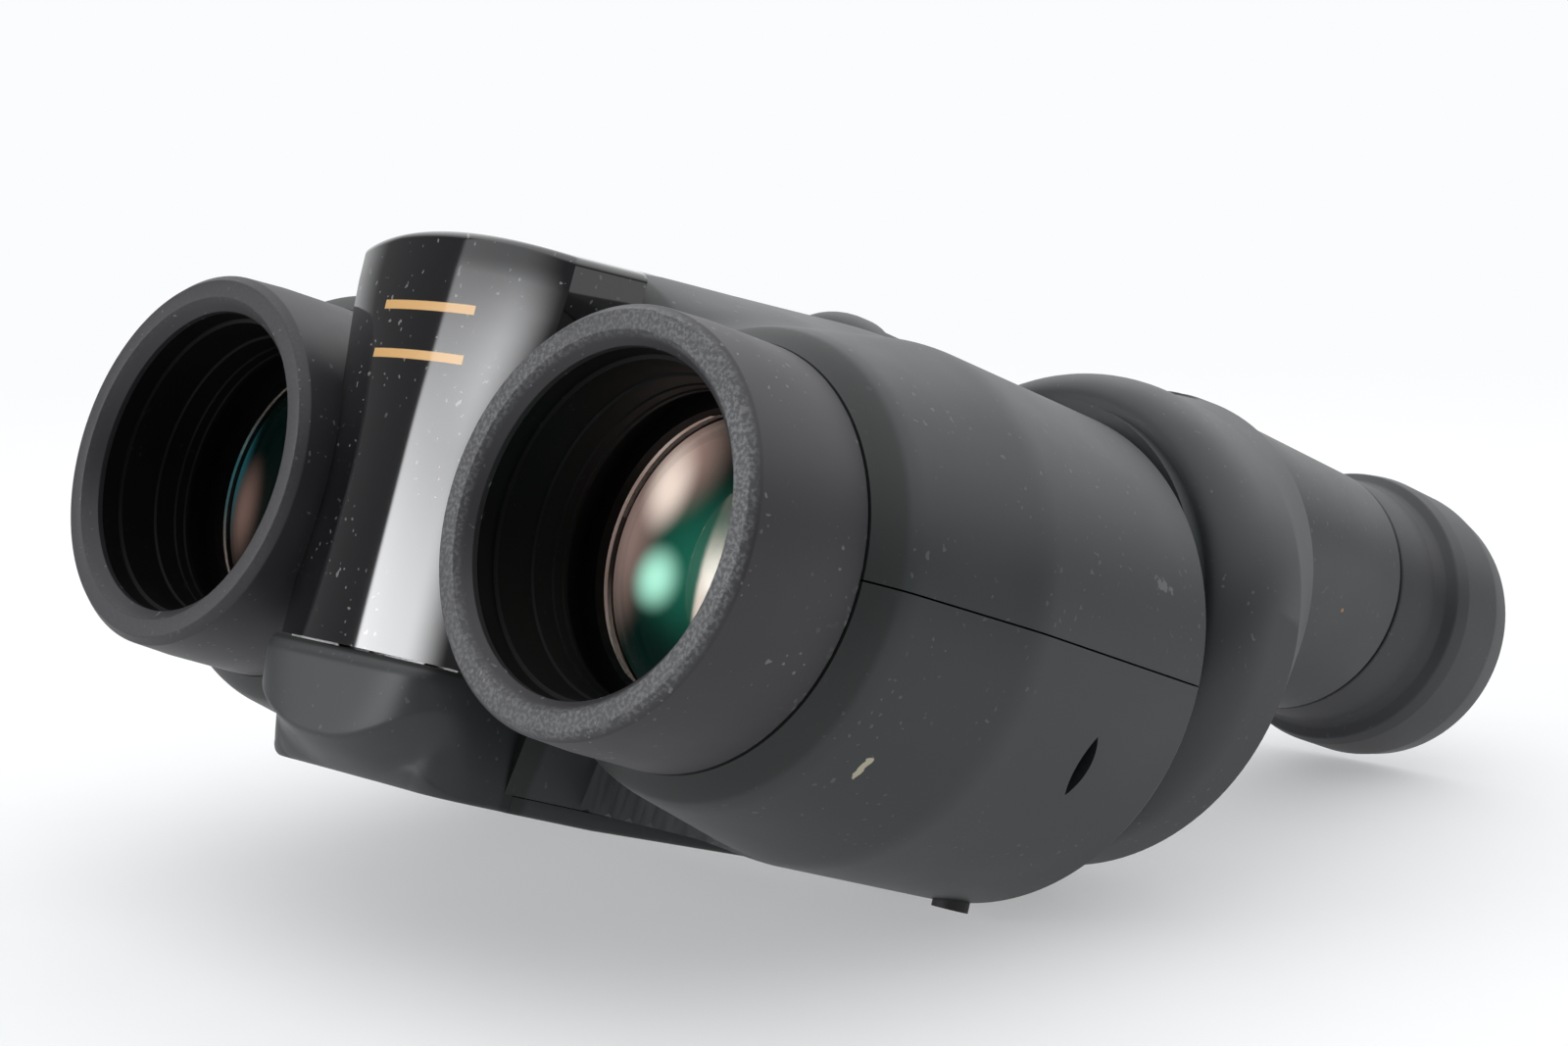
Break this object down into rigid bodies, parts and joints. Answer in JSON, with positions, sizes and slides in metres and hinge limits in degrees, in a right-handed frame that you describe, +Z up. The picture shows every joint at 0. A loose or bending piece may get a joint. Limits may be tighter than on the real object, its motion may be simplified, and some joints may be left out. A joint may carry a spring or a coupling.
{
  "type": "image-stabilised binoculars",
  "caption": "Image-stabilised binoculars: two rubber-coated barrels with hooded lenses, gloss centre panel, turning eyepiece turrets, focus knob, stabiliser button and battery door.",
  "frame": {"origin": "bottom centre of the whole object's box at rest, midway between the two barrels, on the plane of the chin's underside and the foot pads", "axes": "+Z up; the objective lenses look along -Y and the eyecups are at +Y; +X is the user's left"},
  "size_m": [0.1264, 0.1504, 0.0689],
  "materials": {
    "casing_rubber": "fine satin rubber coat",
    "gloss_panel": "polished black",
    "hood_rubber": "moulded rubber with a worn lip",
    "eyecup_rubber": "soft matte rubber",
    "control_rubber": "ribbed matte rubber",
    "black_plastic": "matte black",
    "coated_glass": "multi-coated",
    "optical_glass": "clear polished",
    "alloy": "cast and machined",
    "steel": "plated",
    "brass": "machined",
    "coil_copper": "enamelled winding",
    "board": "lacquered board",
    "cell_wrap": "plain printed wrap",
    "foot_rubber": "matte",
    "bellows_rubber": "thin moulded",
    "amber_lens": "translucent amber"
  },
  "bodies": {
    "case": {"upper_shell": "casing_rubber", "lower_shell": "casing_rubber", "front_panel": "gloss_panel", "chin_cover": "casing_rubber", "hood_ring_left": "hood_rubber", "hood_ring_right": "hood_rubber", "objective_tube_left": "black_plastic", "objective_tube_right": "black_plastic", "light_baffle_left": "black_plastic", "light_baffle_right": "black_plastic", "chassis": "alloy", "guide_rods": "steel", "stabiliser_frame_left": "black_plastic", "stabiliser_frame_right": "black_plastic", "bellows_left": "bellows_rubber", "bellows_right": "bellows_rubber", "actuator_coils": "coil_copper", "control_board": "board", "battery_tray": "black_plastic", "battery_cells": "cell_wrap", "battery_contacts": "steel", "case_screws": "steel", "foot_pads": "foot_rubber", "strap_bars": "steel", "indicator_lamp": "amber_lens", "button_spring": "steel"},
    "battery_door": {"battery_door": "casing_rubber"},
    "stabiliser_button": {"stabiliser_button": "control_rubber"},
    "focus_wheel": {"focus_knob": "control_rubber", "focus_screw": "steel"},
    "focus_carriage": {"focus_carriage": "alloy", "objective_cell_left": "black_plastic", "objective_cell_right": "black_plastic", "objective_lens_left": "coated_glass", "objective_lens_right": "coated_glass"},
    "turret_left": {"turret_left": "casing_rubber", "bearing_ring_left": "alloy", "spacing_gear_left": "brass", "prism_left": "optical_glass", "eyepiece_tube_left": "casing_rubber", "ocular_cell_left": "black_plastic", "ocular_lens_left": "coated_glass", "eyecup_left": "eyecup_rubber"},
    "turret_right": {"turret_right": "casing_rubber", "bearing_ring_right": "alloy", "spacing_gear_right": "brass", "prism_right": "optical_glass", "eyepiece_tube_right": "casing_rubber", "ocular_cell_right": "black_plastic", "ocular_lens_right": "coated_glass", "eyecup_right": "eyecup_rubber"},
    "diopter_ring": {"diopter_ring": "control_rubber"},
    "diopter_lens": {"diopter_lens": "coated_glass"},
    "yaw_window_left": {"yaw_window_left": "optical_glass"},
    "yaw_window_right": {"yaw_window_right": "optical_glass"},
    "pitch_window_left": {"pitch_window_left": "optical_glass"},
    "pitch_window_right": {"pitch_window_right": "optical_glass"}
  },
  "joints": [
    {"name": "eyepiece_spacing_left", "type": "hinge", "parent": "case", "child": "turret_left", "pos_m": [0.0345, -0.0087, 0.03], "axis": [0, 1, 0], "range_deg": [-17, 11]},
    {"name": "eyepiece_spacing_right", "type": "hinge", "parent": "case", "child": "turret_right", "pos_m": [-0.0345, -0.0087, 0.03], "axis": [0, 1, 0], "range_deg": [-11, 17]},
    {"name": "focus_turn", "type": "hinge", "parent": "case", "child": "focus_wheel", "pos_m": [0, -0.0087, 0.0586], "axis": [0, 1, 0], "range_deg": [-360, 120]},
    {"name": "focus_slide", "type": "slide", "parent": "case", "child": "focus_carriage", "axis": [0, 1, 0], "range_m": [-0.003, 0.001]},
    {"name": "diopter_turn", "type": "hinge", "parent": "turret_right", "child": "diopter_ring", "pos_m": [-0.0335, 0.0248, 0.0504], "axis": [0, 1, 0], "range_deg": [-40, 40]},
    {"name": "diopter_slide", "type": "slide", "parent": "turret_right", "child": "diopter_lens", "axis": [0, 1, 0], "range_m": [-0.0014, 0.0014]},
    {"name": "button_press", "type": "slide", "parent": "case", "child": "stabiliser_button", "axis": [0, 0, -1], "range_m": [0, 0.0012], "stiffness_N_per_m": 600, "springref_m": -0.0008, "deforming": ["button_spring"]},
    {"name": "door_swing", "type": "hinge", "parent": "case", "child": "battery_door", "pos_m": [0, -0.0163, 0.001], "axis": [1, 0, 0], "range_deg": [0, 95]},
    {"name": "yaw_left", "type": "hinge", "parent": "case", "child": "yaw_window_left", "pos_m": [0.0345, -0.0274, 0.03], "axis": [0, 0, 1], "range_deg": [-1.5, 1.5]},
    {"name": "yaw_right", "type": "hinge", "parent": "case", "child": "yaw_window_right", "pos_m": [-0.0345, -0.0274, 0.03], "axis": [0, 0, 1], "range_deg": [-1.5, 1.5]},
    {"name": "pitch_left", "type": "hinge", "parent": "case", "child": "pitch_window_left", "pos_m": [0.0345, -0.023, 0.03], "axis": [1, 0, 0], "range_deg": [-1.5, 1.5]},
    {"name": "pitch_right", "type": "hinge", "parent": "case", "child": "pitch_window_right", "pos_m": [-0.0345, -0.023, 0.03], "axis": [1, 0, 0], "range_deg": [-1.5, 1.5]}
  ],
  "couplings": [
    {"joint": "eyepiece_spacing_right", "follows": "eyepiece_spacing_left", "ratio": -1},
    {"joint": "focus_turn", "follows": "focus_slide", "rad_per_m": 2094.4},
    {"joint": "diopter_turn", "follows": "diopter_slide", "rad_per_m": 500},
    {"joint": "yaw_right", "follows": "yaw_left", "ratio": 1},
    {"joint": "pitch_right", "follows": "pitch_left", "ratio": 1}
  ]
}
